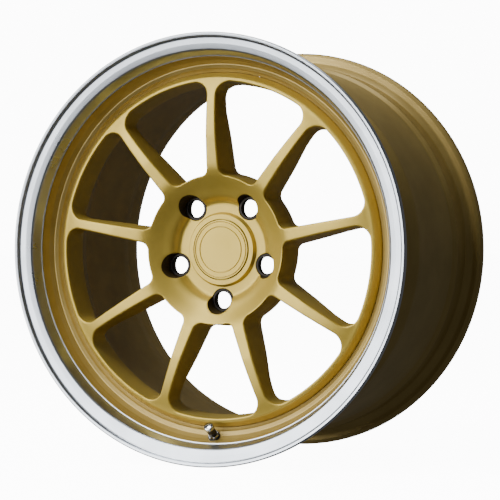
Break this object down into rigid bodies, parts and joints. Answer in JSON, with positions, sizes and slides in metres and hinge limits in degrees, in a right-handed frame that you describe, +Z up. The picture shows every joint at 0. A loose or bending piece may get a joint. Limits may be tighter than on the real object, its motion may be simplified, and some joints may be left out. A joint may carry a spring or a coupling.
{
  "type": "forged racing wheel rim",
  "caption": "Deep-lipped forged racing wheel with slim radial spokes, polished outer lip, gold barrel and centre, bolt seats, centre cap and valve.",
  "frame": {"origin": "on the wheel's axis, halfway between the two rim flanges' outer planes", "axes": "+Y along the wheel's axis towards the car (inboard), so the outboard face looks towards -Y; +Z up; the valve is at the bottom"},
  "size_m": [0.4712, 0.2646, 0.4704],
  "materials": {
    "gold_paint": "satin gold metallic paint over forged aluminium",
    "cap_paint": "satin gold metallic paint on a machined cap",
    "polished_lip": "turned and polished, clear coated",
    "weld_bead": "welded bead under thin gold paint",
    "seat_steel": "zinc plated, turned",
    "black_nylon": "moulded, fine grain",
    "spring_wire": "drawn spring wire",
    "valve_brass": "turned, nickel-flashed in places",
    "valve_chrome": "bright plated",
    "black_rubber": "moulded rubber",
    "white_ptfe": "turned seal plastic"
  },
  "bodies": {
    "wheel": {"outer_lip": "polished_lip", "inner_barrel": "gold_paint", "lip_weld": "weld_bead", "forged_center": "gold_paint", "center_weld": "weld_bead", "lug_seat_1": "seat_steel", "lug_seat_2": "seat_steel", "lug_seat_3": "seat_steel", "lug_seat_4": "seat_steel", "lug_seat_5": "seat_steel", "hub_ring": "black_nylon", "valve_stem": "valve_brass", "valve_inner_seal": "black_rubber", "valve_outer_seal": "black_rubber", "valve_nut": "valve_chrome", "valve_core_body": "valve_brass", "valve_core_seal": "white_ptfe", "valve_core_spring": "spring_wire"},
    "center_cap": {"cap_plate": "cap_paint", "cap_clip": "black_nylon", "cap_wire": "spring_wire"},
    "valve_cap_seal": {"valve_cap_gasket": "black_rubber"},
    "valve_cap_shell": {"valve_cap": "valve_chrome"},
    "valve_pin": {"valve_core_pin": "valve_brass"}
  },
  "joints": [
    {"name": "center_cap_pull", "type": "slide", "parent": "wheel", "child": "center_cap", "axis": [0, -1, 0], "range_m": [0, 0.03]},
    {"name": "valve_cap_travel", "type": "slide", "parent": "wheel", "child": "valve_cap_seal", "axis": [0, -0.766, 0.6428], "range_m": [0, 0.009]},
    {"name": "valve_cap_turn", "type": "hinge", "parent": "valve_cap_seal", "child": "valve_cap_shell", "pos_m": [0, -0.09755, -0.2053], "axis": [0, -0.766, 0.6428], "range_deg": [0, 4090]},
    {"name": "valve_pin_press", "type": "slide", "parent": "wheel", "child": "valve_pin", "axis": [0, 0.766, -0.6428], "range_m": [0, 0.0012], "stiffness_N_per_m": 1500}
  ],
  "couplings": [
    {"joint": "valve_cap_turn", "follows": "valve_cap_travel", "rad_per_m": 7923.3}
  ]
}
